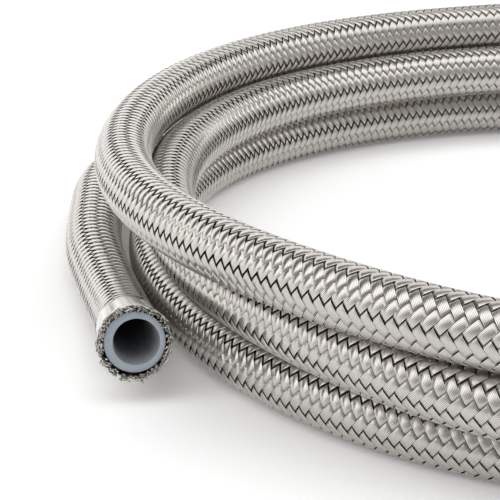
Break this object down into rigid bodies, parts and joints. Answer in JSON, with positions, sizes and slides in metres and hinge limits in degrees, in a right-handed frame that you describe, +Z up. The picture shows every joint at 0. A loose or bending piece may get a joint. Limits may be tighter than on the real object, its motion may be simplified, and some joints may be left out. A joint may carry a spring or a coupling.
{
  "type": "braided fuel hose",
  "caption": "Coil of fuel hose: a pale plastic liner tube in a close wire braid sleeve, both ends cut square and bare.",
  "frame": {"origin": "on the ground below the middle of the coil's box", "axes": "+Z up out of the coil, -Y the way the near cut faces, so the coil opens along Z"},
  "size_m": [0.2562, 0.2674, 0.048],
  "materials": {
    "wire_braid": "bright stainless wire",
    "liner_plastic": "smooth pale blue-grey"
  },
  "bodies": {
    "root": {"braid_sleeve": "wire_braid", "liner_tube": "liner_plastic"}
  },
  "joints": []
}
